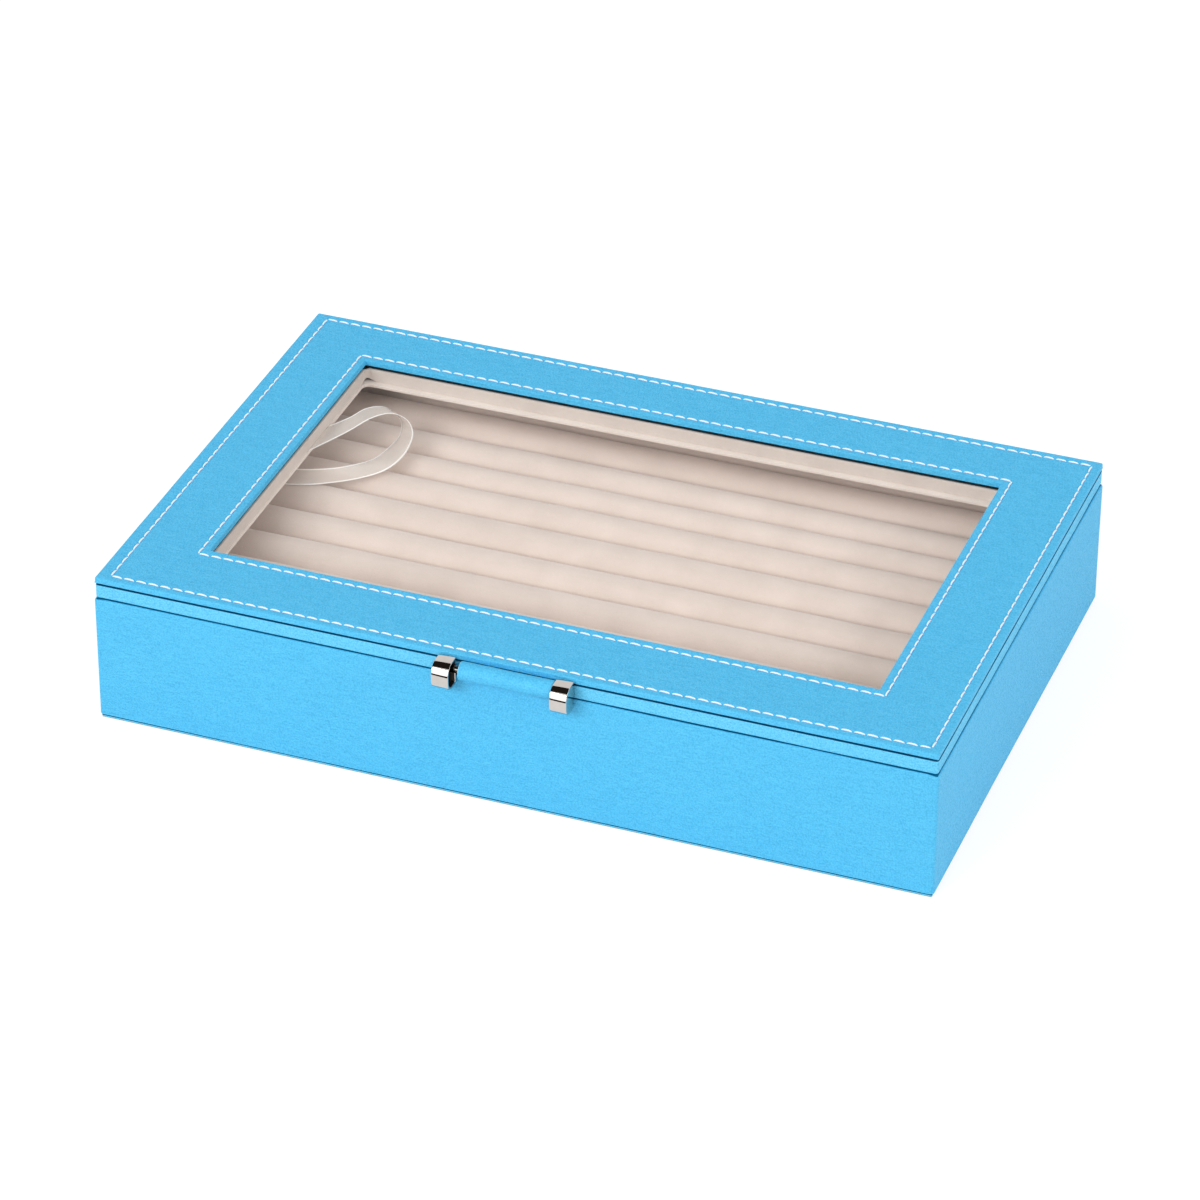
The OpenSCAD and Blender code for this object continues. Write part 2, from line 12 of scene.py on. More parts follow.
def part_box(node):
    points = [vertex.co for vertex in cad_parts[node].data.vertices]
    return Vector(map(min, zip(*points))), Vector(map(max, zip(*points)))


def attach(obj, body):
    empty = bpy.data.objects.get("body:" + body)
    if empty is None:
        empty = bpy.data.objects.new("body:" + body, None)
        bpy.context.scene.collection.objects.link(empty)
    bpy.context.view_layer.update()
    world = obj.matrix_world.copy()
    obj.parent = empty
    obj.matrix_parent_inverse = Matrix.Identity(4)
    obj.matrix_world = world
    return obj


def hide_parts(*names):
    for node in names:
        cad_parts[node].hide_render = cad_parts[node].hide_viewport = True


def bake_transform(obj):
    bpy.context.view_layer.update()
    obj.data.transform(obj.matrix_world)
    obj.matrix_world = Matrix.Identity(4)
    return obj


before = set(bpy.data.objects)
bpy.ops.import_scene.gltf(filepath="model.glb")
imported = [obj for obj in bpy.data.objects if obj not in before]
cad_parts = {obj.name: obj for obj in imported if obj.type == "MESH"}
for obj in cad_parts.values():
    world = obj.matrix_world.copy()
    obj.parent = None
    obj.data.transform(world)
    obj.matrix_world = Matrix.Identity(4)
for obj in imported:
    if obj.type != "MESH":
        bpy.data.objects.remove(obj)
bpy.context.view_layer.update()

MM = 0.001

# ---- Places read from the frame ----

BASE_LOW, BASE_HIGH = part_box("base_leather")
BAND_LOW, BAND_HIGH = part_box("lid_band_leather")
PANEL_LOW, PANEL_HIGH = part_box("panel_leather")
WALL_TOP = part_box("front_wall")[1].z
WALL_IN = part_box("floor_board")[1]
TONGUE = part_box("lid_lining_right")[1].x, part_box("lid_lining_back")[1].y
WINDOW_LOW = Vector((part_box("edge_velvet_left")[1].x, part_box("edge_velvet_front")[1].y))
WINDOW_HIGH = Vector((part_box("edge_velvet_right")[0].x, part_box("edge_velvet_back")[0].y))
LEDGE_LOW = Vector((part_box("lid_lining_left")[1].x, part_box("lid_lining_front")[1].y))
LEDGE_HIGH = Vector((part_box("lid_lining_right")[0].x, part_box("lid_lining_back")[0].y))
ROLLS = [f"ring_roll_{i:02d}" for i in range(1, 11)]
SIDES = ("front", "back", "left", "right")
HINGES = ("left", "right")


# ---- Modelling helpers ----

def pick_piece(piece):
    bpy.ops.object.select_all(action="DESELECT")
    piece.select_set(True)
    bpy.context.view_layer.objects.active = piece


def settle(piece):
    """Puts the piece's place into its mesh, so that its object sits at the origin."""
    pick_piece(piece)
    bpy.ops.object.transform_apply(location=True, rotation=True, scale=True)


def named(name):
    piece = bpy.context.object
    piece.name = name
    piece.data.name = name
    return piece


def add_block(name, low, high):
    bpy.ops.object.select_all(action="DESELECT")
    low, high = Vector(low), Vector(high)
    bpy.ops.mesh.primitive_cube_add(size=1, location=(low + high) / 2, scale=high - low)
    piece = named(name)
    settle(piece)
    return piece


def open_edit(piece):
    pick_piece(piece)
    bpy.ops.object.mode_set(mode="EDIT")


def close_edit():
    bpy.ops.object.mode_set(mode="OBJECT")


def select(piece, kind, wanted):
    """Selects the piece's faces, edges or vertices that wanted() takes, in edit mode."""
    bpy.ops.mesh.select_mode(type=kind)
    bpy.ops.mesh.select_all(action="DESELECT")
    cage = bmesh.from_edit_mesh(piece.data)
    parts = {"VERT": cage.verts, "EDGE": cage.edges, "FACE": cage.faces}[kind]
    for part in parts:
        if wanted(part):
            part.select_set(True)
    bmesh.update_edit_mesh(piece.data)


def select_whole(kind):
    """Selects all of the open piece's faces, edges or vertices."""
    bpy.ops.mesh.select_mode(type=kind)
    bpy.ops.mesh.select_all(action="SELECT")


def middle(edge):
    return (edge.verts[0].co + edge.verts[1].co) / 2


# The share of a direction that lies along an axis, from which it counts as along it, and
# the angle between two faces, in radians, from which their edge counts as sharp
ALONG = 0.9
SHARP_ANGLE = 1


def facing(axis, sign):
    return lambda face: face.normal[axis] * sign > ALONG


def sharp(edge):
    return edge.is_manifold and edge.calc_face_angle(0) > SHARP_ANGLE


def upright(edge):
    rise = abs(edge.verts[0].co.z - edge.verts[1].co.z)
    return rise > ALONG * edge.calc_length()


# How far apart large faces are cut, so that they can waver
FACE_STEP = 5 * MM


def cut_across(axis, places):
    """Cuts the piece in edit mode by planes square to the axis."""
    for place in places:
        point, normal = Vector(), Vector()
        point[axis] = place
        normal[axis] = 1
        bpy.ops.mesh.select_all(action="SELECT")
        bpy.ops.mesh.bisect(plane_co=point, plane_no=normal)


def spread(low, high, step, near_ends=()):
    """Places from low to high about a step apart, and some at set distances from both."""
    count = max(1, round((high - low) / step))
    places = [low + (high - low) * k / count for k in range(1, count)]
    return places + [low + d for d in near_ends] + [high - d for d in near_ends]


def apply_modifier(piece, kind, **settings):
    pick_piece(piece)
    modifier = piece.modifiers.new(kind, kind)
    for key, value in settings.items():
        setattr(modifier, key, value)
    bpy.ops.object.modifier_apply(modifier=modifier.name)


def subdivide_smooth(piece, levels):
    apply_modifier(piece, "SUBSURF", levels=levels, render_levels=levels)


def waver(piece, height, size):
    """Moves the surface in and out a little, as hand-wrapped leather or velvet lies."""
    cloud = bpy.data.textures.new(f"{piece.name}_waver", "CLOUDS")
    cloud.noise_scale = size
    cloud.noise_depth = 1
    apply_modifier(piece, "DISPLACE", texture=cloud, strength=height, mid_level=0.5,
                   texture_coords="LOCAL")


def smooth(piece, degrees=40):
    pick_piece(piece)
    bpy.ops.object.shade_smooth_by_angle(angle=math.radians(degrees))


def finish_piece(piece, material, slot, body, *nodes):
    """Gives the piece its material and body, and hides the CAD nodes that it stands for."""
    piece.data.materials.clear()
    piece.data.materials.append(material)
    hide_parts(*nodes)
    if body:
        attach(piece, body)


def paint_faces(piece, material, wanted):
    """Gives the faces that wanted() takes one more material."""
    index = len(piece.data.materials)
    piece.data.materials.append(material)
    for face in piece.data.polygons:
        if wanted(face):
            face.material_index = index


# ---- Materials ----

WHITE = (1, 1, 1, 1)


def new_material(name):
    material = bpy.data.materials.new(name)
    material.use_nodes = True
    return material


def shader_of(material):
    return material.node_tree.nodes["Principled BSDF"]


def set_sockets(node, **values):
    for key, value in values.items():
        node.inputs[key.replace("_", " ")].default_value = value


def add_node(owner, kind, settings=None, **inputs):
    """A new node of a material or world, with its settings, and each input, by its name
    or as _0, _1 and so on by its number, set or linked."""
    tree = owner.node_tree
    node = tree.nodes.new(kind)
    for key, value in (settings or {}).items():
        setattr(node, key, value)
    for key, value in inputs.items():
        socket = node.inputs[int(key[1:]) if key[1:].isdigit() else key.replace("_", " ")]
        if isinstance(value, bpy.types.NodeSocket):
            tree.links.new(value, socket)
        else:
            socket.default_value = value
    return node


def object_place(material, scale=(1, 1, 1)):
    coords = add_node(material, "ShaderNodeTexCoord")
    mapping = add_node(material, "ShaderNodeMapping", Vector=coords.outputs["Object"],
                       Scale=scale)
    return mapping.outputs[0]


def noise_at(material, place, scale, detail=2, roughness=0.5):
    return add_node(material, "ShaderNodeTexNoise", Vector=place, Scale=scale,
                    Detail=detail, Roughness=roughness).outputs["Fac"]


def blend_colours(material, share, low, high):
    """From low, a colour or another node's output, to the colour high."""
    if not isinstance(low, bpy.types.NodeSocket):
        low = (*low, 1)
    return add_node(material, "ShaderNodeMix", {"data_type": "RGBA"}, Factor=share,
                    _6=low, _7=(*high, 1)).outputs[2]


def ranged(material, value, low, high, from_low=0.0, from_high=1.0):
    return add_node(material, "ShaderNodeMapRange", Value=value, From_Min=from_low,
                    From_Max=from_high, To_Min=low, To_Max=high).outputs[0]


def calc(owner, operation, *values):
    """What a Math node makes of one or two values."""
    return add_node(owner, "ShaderNodeMath", {"operation": operation},
                    **{f"_{k}": value for k, value in enumerate(values)}).outputs[0]


def link(material, output, socket):
    material.node_tree.links.new(output, shader_of(material).inputs[socket])


def link_surface(owner, shader, end="Material Output"):
    tree = owner.node_tree
    tree.links.new(shader.outputs[0], tree.nodes[end].inputs["Surface"])


def blue_leather(name, low, high):
    """Satin leather with a fine pebble grain and faint wrinkles along the case."""
    leather = new_material(name)
    place = object_place(leather)
    pebbles = add_node(leather, "ShaderNodeTexVoronoi", {"feature": "F1"},
                       Vector=place, Scale=1700, Randomness=1).outputs[0]
    wrinkles = noise_at(leather, object_place(leather, (300, 900, 1300)), 1, 4, 0.65)
    tone = noise_at(leather, place, 45, 3)
    grain = calc(leather, "ADD", ranged(leather, pebbles, 0.9, 0),
                 ranged(leather, wrinkles, 0, 1))
    shade = ranged(leather, grain, 0, 1, 0.58, 1.34)
    shaded = blend_colours(leather, shade, low, high)
    link(leather, blend_colours(leather, ranged(leather, tone, 0, 0.18), shaded, high),
         "Base Color")
    link(leather, ranged(leather, shade, 0.6, 0.42), "Roughness")
    bump = add_node(leather, "ShaderNodeBump", Strength=0.8, Distance=0.0003, Height=grain)
    link(leather, bump.outputs[0], "Normal")
    set_sockets(shader_of(leather), Specular_IOR_Level=0.25)
    return leather


def painted_edge_leather(name, low, high):
    """Leather painted darker or paler than its face: dark as the shade in crevices, seams and
    grooves, pale as highlights along edges and as wear and highlight on the grip's rim.
    """
    edge = new_material(name)
    edge_mottle = noise_at(edge, object_place(edge), 400, 3)
    link(edge, blend_colours(edge, edge_mottle, low, high), "Base Color")
    link(edge, ranged(edge, edge_mottle, 0.6, 0.8), "Roughness")
    set_sockets(shader_of(edge), Specular_IOR_Level=0.02)
    return edge


def short_velvet(name, low, high):
    """Short-pile velvet: matt, with a sheen at grazing angles and a mottled nap."""
    velvet = new_material(name)
    place = object_place(velvet)
    nap = noise_at(velvet, place, 55, 3, 0.55)
    fuzz = noise_at(velvet, place, 1500, 2, 0.7)
    streaks = noise_at(velvet, object_place(velvet, (40, 420, 420)), 1, 2)
    fuzzy_nap = calc(velvet, "ADD", nap, ranged(velvet, fuzz, -0.18, 0.18))
    mottle = calc(velvet, "ADD", fuzzy_nap, ranged(velvet, streaks, -0.12, 0.12))
    link(velvet, blend_colours(velvet, ranged(velvet, mottle, 0, 1, 0.3, 0.7), low, high),
         "Base Color")
    link(velvet, ranged(velvet, fuzz, 0.85, 1), "Roughness")
    bump = add_node(velvet, "ShaderNodeBump", Strength=0.5, Distance=0.0002, Height=fuzz)
    link(velvet, bump.outputs[0], "Normal")
    set_sockets(shader_of(velvet), Specular_IOR_Level=0.1, Sheen_Weight=0.35,
                Sheen_Roughness=0.5)
    return velvet


def white_thread():
    thread = new_material("white sewing thread")
    twist = add_node(thread, "ShaderNodeTexWave", {"bands_direction": "DIAGONAL"},
                     Vector=object_place(thread), Scale=700, Distortion=1.5,
                     Detail=1).outputs["Fac"]
    link(thread, blend_colours(thread, twist, (0.74, 0.78, 0.82), (0.93, 0.94, 0.95)),
         "Base Color")
    bump = add_node(thread, "ShaderNodeBump", Strength=0.4, Distance=0.00008, Height=twist)
    link(thread, bump.outputs[0], "Normal")
    set_sockets(shader_of(thread), Roughness=0.6, Sheen_Weight=0.2)
    return thread


def sheer_ribbon():
    """Organza: a fine open weave between two dense woven edges, on the ribbon's UV map,
    which runs 0 to 1 across and in metres along."""
    organza = new_material("sheer organza")
    uv = add_node(organza, "ShaderNodeUVMap", {"uv_map": "ribbon"}).outputs[0]
    split = add_node(organza, "ShaderNodeSeparateXYZ", Vector=uv)
    across, along = split.outputs[0], split.outputs[1]
    off_middle = calc(organza, "ABSOLUTE", calc(organza, "SUBTRACT", across, 0.5))
    edge = ranged(organza, off_middle, 0, 1, 0.42, 0.44)
    weft = calc(organza, "SINE", calc(organza, "MULTIPLY", along, 16000))
    warp = calc(organza, "SINE", calc(organza, "MULTIPLY", across, 160))
    weave = ranged(organza, calc(organza, "ADD", weft, warp), 0.34, 0.58, -2, 2)
    cover = add_node(organza, "ShaderNodeMix", {"data_type": "FLOAT"}, Factor=edge,
                     _2=weave, _3=1)
    link(organza, cover.outputs[0], "Alpha")
    link(organza, blend_colours(organza, edge, (0.90, 0.83, 0.78), (1, 0.98, 0.96)),
         "Base Color")
    link(organza, ranged(organza, edge, 0.35, 0.6), "Roughness")
    set_sockets(shader_of(organza), Sheen_Weight=0.6, Sheen_Roughness=0.3)
    return organza


def polished_chrome(name, low, high):
    chrome = new_material(name)
    place = object_place(chrome)
    haze = noise_at(chrome, place, 420, 3)
    link(chrome, ranged(chrome, haze, 0.02, 0.07), "Roughness")
    link(chrome, blend_colours(chrome, haze, low, high), "Base Color")
    set_sockets(shader_of(chrome), Metallic=1.0)
    return chrome


def bore_painted_dark():
    """The inside of a cap, painted near black as the shade in it."""
    bore = new_material("bore painted dark as shade")
    bore_mottle = noise_at(bore, object_place(bore), 900, 3)
    link(bore, blend_colours(bore, bore_mottle, (0.008, 0.008, 0.008), (0.04, 0.036, 0.032)),
         "Base Color")
    link(bore, ranged(bore, bore_mottle, 0.35, 0.6), "Roughness")
    return bore


def hinge_steel():
    steel = new_material("satin nickel")
    brushed = noise_at(steel, object_place(steel, (120, 2400, 2400)), 1, 3)
    link(steel, ranged(steel, brushed, 0.22, 0.42), "Roughness")
    link(steel, blend_colours(steel, brushed, (0.56, 0.55, 0.53), (0.70, 0.69, 0.67)),
         "Base Color")
    bump = add_node(steel, "ShaderNodeBump", Strength=0.15, Distance=0.00005, Height=brushed)
    link(steel, bump.outputs[0], "Normal")
    set_sockets(shader_of(steel), Metallic=1.0)
    return steel


def fibreboard(name, low, high):
    board = new_material(name)
    place = object_place(board)
    fibres = noise_at(board, place, 900, 4, 0.7)
    flecks = noise_at(board, object_place(board, (260, 260, 900)), 1, 3)
    mix = calc(board, "ADD", ranged(board, fibres, 0, 0.6), ranged(board, flecks, 0, 0.4))
    link(board, blend_colours(board, mix, low, high), "Base Color")
    link(board, ranged(board, fibres, 0.8, 0.95), "Roughness")
    bump = add_node(board, "ShaderNodeBump", Strength=0.3, Distance=0.0002, Height=fibres)
    link(board, bump.outputs[0], "Normal")
    return board


def clear_glass():
    """A thin clear pane: what is behind it shows through, with a soft reflection on it."""
    glass = new_material("clear pane")
    glass.node_tree.nodes.remove(shader_of(glass))
    smears = noise_at(glass, object_place(glass), 30, 2)
    through = add_node(glass, "ShaderNodeBsdfTransparent", Color=(0.985, 0.985, 0.98, 1))
    gloss = add_node(glass, "ShaderNodeBsdfGlossy", Color=WHITE,
                     Roughness=ranged(glass, smears, 0.01, 0.05))
    grazing = add_node(glass, "ShaderNodeLayerWeight", Blend=0.5).outputs["Facing"]
    glare = calc(glass, "POWER", grazing, 5)
    mix = add_node(glass, "ShaderNodeMixShader", _0=ranged(glass, glare, 0.006, 0.35),
                   _1=through.outputs[0], _2=gloss.outputs[0])
    link_surface(glass, mix)
    return glass


leather = blue_leather("blue pebbled leather", (0.048, 0.395, 0.69), (0.094, 0.545, 0.87))
# Painted light: a lighter copy of the blue leather for the band, which looks brighter than
# the base
band_leather_painted_light = blue_leather("blue leather painted lighter for the band", (0.07, 0.44, 0.73),
                                 (0.15, 0.62, 0.91))
# Painted shade: leather coloured dark in the crevice under the panel, in the groove at the
# top of the bottom cover's edge, and at the cover's foot as contact shadow
crevice_shade_leather = painted_edge_leather("leather painted dark as crevice shade", (0.001, 0.05, 0.12), (0.003, 0.09, 0.20))
# Painted shade: the line on the base's rim in the seam under the lid's edge
seam_shade_leather = painted_edge_leather("leather line painted dark as seam shade", (0.001, 0.10, 0.22), (0.004, 0.17, 0.33))
# Painted highlight: the pale band along the bottom cover's edge
edge_highlight_leather = painted_edge_leather("leather painted pale as edge highlight", (0.13, 0.58, 0.84), (0.20, 0.66, 0.90))
# Partly wear and partly painted highlight: the paler rim of the grip's free end
wear_and_highlight_leather = painted_edge_leather("leather rim painted pale as wear and highlight", (0.42, 0.76, 0.92), (0.58, 0.84, 0.95))
velvet = short_velvet("cream velvet", (0.69, 0.585, 0.53), (0.76, 0.65, 0.595))
# Painted shade: a greyer copy of the cream velvet for the window's edge strip
shaded_edge_velvet = short_velvet("cream velvet painted greyer as shade", (0.65, 0.575, 0.53), (0.72, 0.645, 0.595))
# Painted light: a paler copy of the cream velvet for the ledge under the lid frame
lit_ledge_velvet = short_velvet("cream velvet painted paler as light", (0.76, 0.67, 0.615), (0.83, 0.745, 0.69))
thread = white_thread()
organza = sheer_ribbon()
chrome = polished_chrome("polished chrome", (0.56, 0.52, 0.49), (0.64, 0.60, 0.57))
# Painted shade: a near-black copy of the chrome for the rod in the gap by the left cap
rod_chrome_painted_dark = polished_chrome("chrome painted dark as shade", (0.05, 0.045, 0.04), (0.16, 0.15, 0.14))
# Painted shade: the near-black inside of the caps
bore = bore_painted_dark()
steel = hinge_steel()
board = fibreboard("sanded fibreboard", (0.30, 0.19, 0.10), (0.46, 0.32, 0.19))
# Painted shade: the lid frames are made black so that the gap under the window's edge shows
# dark
frame_board_painted_black = fibreboard("fibreboard painted black as shade", (0.010, 0.009, 0.008),
                           (0.03, 0.027, 0.024))
card = fibreboard("grey card", (0.36, 0.30, 0.23), (0.50, 0.43, 0.34))
glass = clear_glass()


# ---- Leather pieces ----

LEATHER_THICK = 0.7 * MM

# The room round each hinge leaf in the leather, and how far above the walls it starts
HINGE_POCKET = 0.2 * MM
POCKET_FLOOR = 0.05 * MM

# The line along the rim, by its distance from the edge, that is painted dark as the shade in
# the seam under the closed lid
SEAM_SHADE_START, SEAM_SHADE_END = 0.5 * MM, 1.8 * MM

# How near the base's corners the rim drops where the leather is folded over, and how far
FOLD_REACH = 4 * MM
FOLD_DROP = 0.6 * MM


def hinge_boxes():
    """Low and high corners of both hinges' leaves with the room round them."""
    boxes = []
    for side in HINGES:
        low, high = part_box(f"base_hinge_leaf_{side}")
        grow = Vector((HINGE_POCKET, HINGE_POCKET, 0))
        boxes.append((low - grow, high + grow))
    return boxes


def cut_hinge_pockets(piece, low_z, high_z):
    """Takes the leather away where the hinge leaves lie on the boards."""
    boxes = hinge_boxes()
    for low, high in boxes:
        cut_across(0, (low.x, high.x))
    cut_across(1, (boxes[0][0].y,))
    cut_across(2, (low_z, high_z))

    def in_pocket(face):
        at = face.calc_center_median()
        return low_z < at.z < high_z and any(
            low.x < at.x < high.x and at.y > low.y for low, high in boxes)

    select(piece, "FACE", in_pocket)
    bpy.ops.mesh.delete(type="FACE")


def base_leather_wrap():
    """Leather over the walls and their rim, turned down inside the rim."""
    skin = BASE_HIGH.z - WALL_TOP
    rim = BASE_HIGH.x - WALL_IN.x
    corner_r, edge_r = 1.4 * MM, 0.5 * MM
    wrap = add_block("base_leather_wrap", BASE_LOW, BASE_HIGH)
    open_edit(wrap)
    select(wrap, "FACE", facing(2, -1))
    bpy.ops.mesh.delete(type="FACE")
    select(wrap, "FACE", facing(2, 1))
    bpy.ops.mesh.inset(thickness=rim, depth=0)
    bpy.ops.mesh.delete(type="FACE")
    select(wrap, "EDGE", lambda e: e.is_manifold and upright(e))
    bpy.ops.mesh.bevel(offset=corner_r, segments=5, affect="EDGES")
    select(wrap, "EDGE", sharp)
    bpy.ops.mesh.bevel(offset=edge_r, segments=4, affect="EDGES")
    select(wrap, "EDGE", lambda e: e.is_boundary and middle(e).z > WALL_TOP)
    bpy.ops.mesh.extrude_edges_move(TRANSFORM_OT_translate={"value": (0, 0, -skin)})
    cut_hinge_pockets(wrap, WALL_TOP + POCKET_FLOOR, BASE_HIGH.z + MM)
    cut_across(0, spread(BASE_LOW.x, BASE_HIGH.x, FACE_STEP))
    cut_across(1, spread(BASE_LOW.y, BASE_HIGH.y, FACE_STEP))
    cut_across(2, spread(BASE_LOW.z, BASE_HIGH.z, FACE_STEP, (0.8 * MM, 2 * MM)))
    for axis in (0, 1):
        cut_across(axis, (BASE_LOW[axis] + SEAM_SHADE_END, BASE_HIGH[axis] - SEAM_SHADE_END,
                          BASE_LOW[axis] + FOLD_REACH, BASE_HIGH[axis] - FOLD_REACH))
    close_edit()
    drop_corners(wrap)
    waver(wrap, 0.25 * MM, 35 * MM)
    waver(wrap, 0.08 * MM, 6 * MM)
    apply_modifier(wrap, "SOLIDIFY", thickness=LEATHER_THICK, offset=-1)
    smooth(wrap)
    finish_piece(wrap, leather, "blue_leather", "base", "base_leather")
    # The rim under the lid's edge is painted dark as the shade in the seam
    paint_faces(wrap, seam_shade_leather,
                lambda f: f.normal.z > 0.95 and SEAM_SHADE_START < from_edge(f.center) < SEAM_SHADE_END)


def from_edge(point):
    return min(BASE_HIGH.x - abs(point.x), BASE_HIGH.y - abs(point.y))


def drop_corners(wrap):
    """Lowers the rim a little at the corners, where the leather is folded over."""
    for vertex in wrap.data.vertices:
        away = Vector((BASE_HIGH.x - abs(vertex.co.x), BASE_HIGH.y - abs(vertex.co.y))).length
        if away < FOLD_REACH and vertex.co.z > BASE_HIGH.z - 2 * MM:
            vertex.co.z -= FOLD_DROP * (1 - away / FOLD_REACH)


# The dark line that shows under the top panel, between it and the band, and how much
# higher the band's rounded lower edge lies than its flat underside
PANEL_CREVICE = 0.6 * MM
BAND_LIFT = 0.05 * MM


def lid_band_wrap():
    """Leather round the lid frame, turned under it as far as the tongue."""
    soft, corner_r, under_panel = 0.3 * MM, 1.1 * MM, 1.6 * MM
    bottom = BAND_LOW + Vector((0, 0, BAND_LIFT))
    top = BAND_HIGH - Vector((0, 0, PANEL_CREVICE))
    band = add_block("lid_band_wrap", bottom, top)
    open_edit(band)
    select(band, "FACE", facing(2, -1))
    bpy.ops.mesh.inset(thickness=BAND_HIGH.x - TONGUE[0], depth=0)
    bpy.ops.mesh.delete(type="FACE")
    select(band, "FACE", facing(2, 1))
    bpy.ops.mesh.inset(thickness=under_panel, depth=0)
    bpy.ops.mesh.delete(type="FACE")
    select(band, "EDGE", upright)
    bpy.ops.mesh.bevel(offset=corner_r, segments=4, affect="EDGES")
    select(band, "EDGE", sharp)
    bpy.ops.mesh.bevel(offset=soft, segments=4, affect="EDGES")
    cut_hinge_pockets(band, bottom.z - MM, bottom.z + 2 * soft)
    cut_across(0, spread(BAND_LOW.x, BAND_HIGH.x, FACE_STEP))
    cut_across(1, spread(BAND_LOW.y, BAND_HIGH.y, FACE_STEP))
    cut_across(2, spread(bottom.z, top.z, 1.2 * MM))
    close_edit()
    waver(band, 0.18 * MM, 24 * MM)
    waver(band, 0.07 * MM, 4 * MM)
    apply_modifier(band, "SOLIDIFY", thickness=LEATHER_THICK, offset=-1)
    smooth(band)
    # The band wears the lighter copy of the leather as painted light
    finish_piece(band, band_leather_painted_light, "blue_leather", "lid", "lid_band_leather")
    # The band's top flange, in the crevice under the panel, is painted dark as the shade
    # there
    paint_faces(band, crevice_shade_leather,
                lambda f: f.normal.z > 0.35 and f.center.z > top.z - soft)


# How far the stitch lines lie in from the panel's edges, on the left further than on the
# other sides, and from the window, and the channels that they pull into the leather
STITCH_OUTER = 3.1 * MM
STITCH_LEFT = 4.7 * MM
STITCH_INNER = 2.9 * MM
CHANNEL_HALF = 0.55 * MM
CHANNEL_DEPTH = 0.5 * MM
CHANNEL_SHOULDER = 0.6 * MM


def place_corners(piece, low, high):
    """Moves the selected face's four corners to a rectangle, by the sides they are on."""
    cage = bmesh.from_edit_mesh(piece.data)
    for vertex in cage.verts:
        if vertex.select:
            vertex.co.x = low.x if vertex.co.x < 0 else high.x
            vertex.co.y = low.y if vertex.co.y < 0 else high.y
    bmesh.update_edit_mesh(piece.data)


def move_left_side(piece, distance):
    """Moves the left side of the selected face to the right."""
    cage = bmesh.from_edit_mesh(piece.data)
    for vertex in cage.verts:
        if vertex.select and vertex.co.x < 0:
            vertex.co.x += distance
    bmesh.update_edit_mesh(piece.data)


def top_panel():
    """The lid's leather-covered top panel: rounded edges, and two channels where the
    stitches pull the leather in."""
    soft, crisp, swell, dip = 0.7 * MM, 0.35 * MM, 0.12 * MM, 0.08 * MM
    step, hold, rough_inset = 9 * MM, 0.8 * MM, 12 * MM
    panel = add_block("top_panel_leather", PANEL_LOW, PANEL_HIGH)
    to_window = STITCH_INNER + CHANNEL_HALF + CHANNEL_SHOULDER
    reach = Vector((to_window, to_window))
    channel = [(CHANNEL_HALF, -CHANNEL_DEPTH), (CHANNEL_HALF, CHANNEL_DEPTH)]
    outer_steps = [*channel, (CHANNEL_SHOULDER, 0)]
    inner_steps = [(CHANNEL_SHOULDER, 0), *channel,
                   (STITCH_INNER - CHANNEL_HALF - crisp, swell), (crisp, -dip)]
    open_edit(panel)
    select(panel, "FACE", facing(2, 1))
    bpy.ops.mesh.inset(thickness=soft, depth=0)
    bpy.ops.mesh.inset(thickness=STITCH_OUTER - soft - CHANNEL_HALF, depth=0)
    move_left_side(panel, STITCH_LEFT - STITCH_OUTER)
    for thickness, depth in outer_steps:
        bpy.ops.mesh.inset(thickness=thickness, depth=depth)
    bpy.ops.mesh.inset(thickness=rough_inset, depth=0)
    place_corners(panel, WINDOW_LOW - reach, WINDOW_HIGH + reach)
    for thickness, depth in inner_steps:
        bpy.ops.mesh.inset(thickness=thickness, depth=depth)
    bpy.ops.mesh.extrude_region_move(
        TRANSFORM_OT_translate={"value": (0, 0, PANEL_LOW.z - PANEL_HIGH.z)})
    bpy.ops.mesh.delete(type="FACE")
    select(panel, "FACE", facing(2, -1))
    bpy.ops.mesh.delete(type="FACE")
    select(panel, "EDGE", lambda e: e.is_boundary)
    bpy.ops.mesh.bridge_edge_loops()
    for axis in (0, 1):
        low, high = WINDOW_LOW[axis], WINDOW_HIGH[axis]
        cut_across(axis, (low - hold, low + hold, high - hold, high + hold))
    for axis in (0, 1):
        cut_across(axis, spread(PANEL_LOW[axis], PANEL_HIGH[axis], step, (MM,)))
    cut_across(2, (PANEL_LOW.z + soft, PANEL_HIGH.z - soft))
    select(panel, "EDGE", lambda e: sharp(e) and middle(e).z < PANEL_LOW.z + soft / 2)
    bpy.ops.transform.edge_crease(value=0.9)
    close_edit()
    subdivide_smooth(panel, 2)
    waver(panel, 0.12 * MM, 28 * MM)
    waver(panel, 0.05 * MM, 5 * MM)
    smooth(panel, 60)
    finish_piece(panel, leather, "blue_leather", "lid", "panel_leather")


# The height at the top of the bottom cover's edge that is painted dark as the shade in the
# groove under the leather wrap
GROOVE_SHADE_HEIGHT = 0.8 * MM


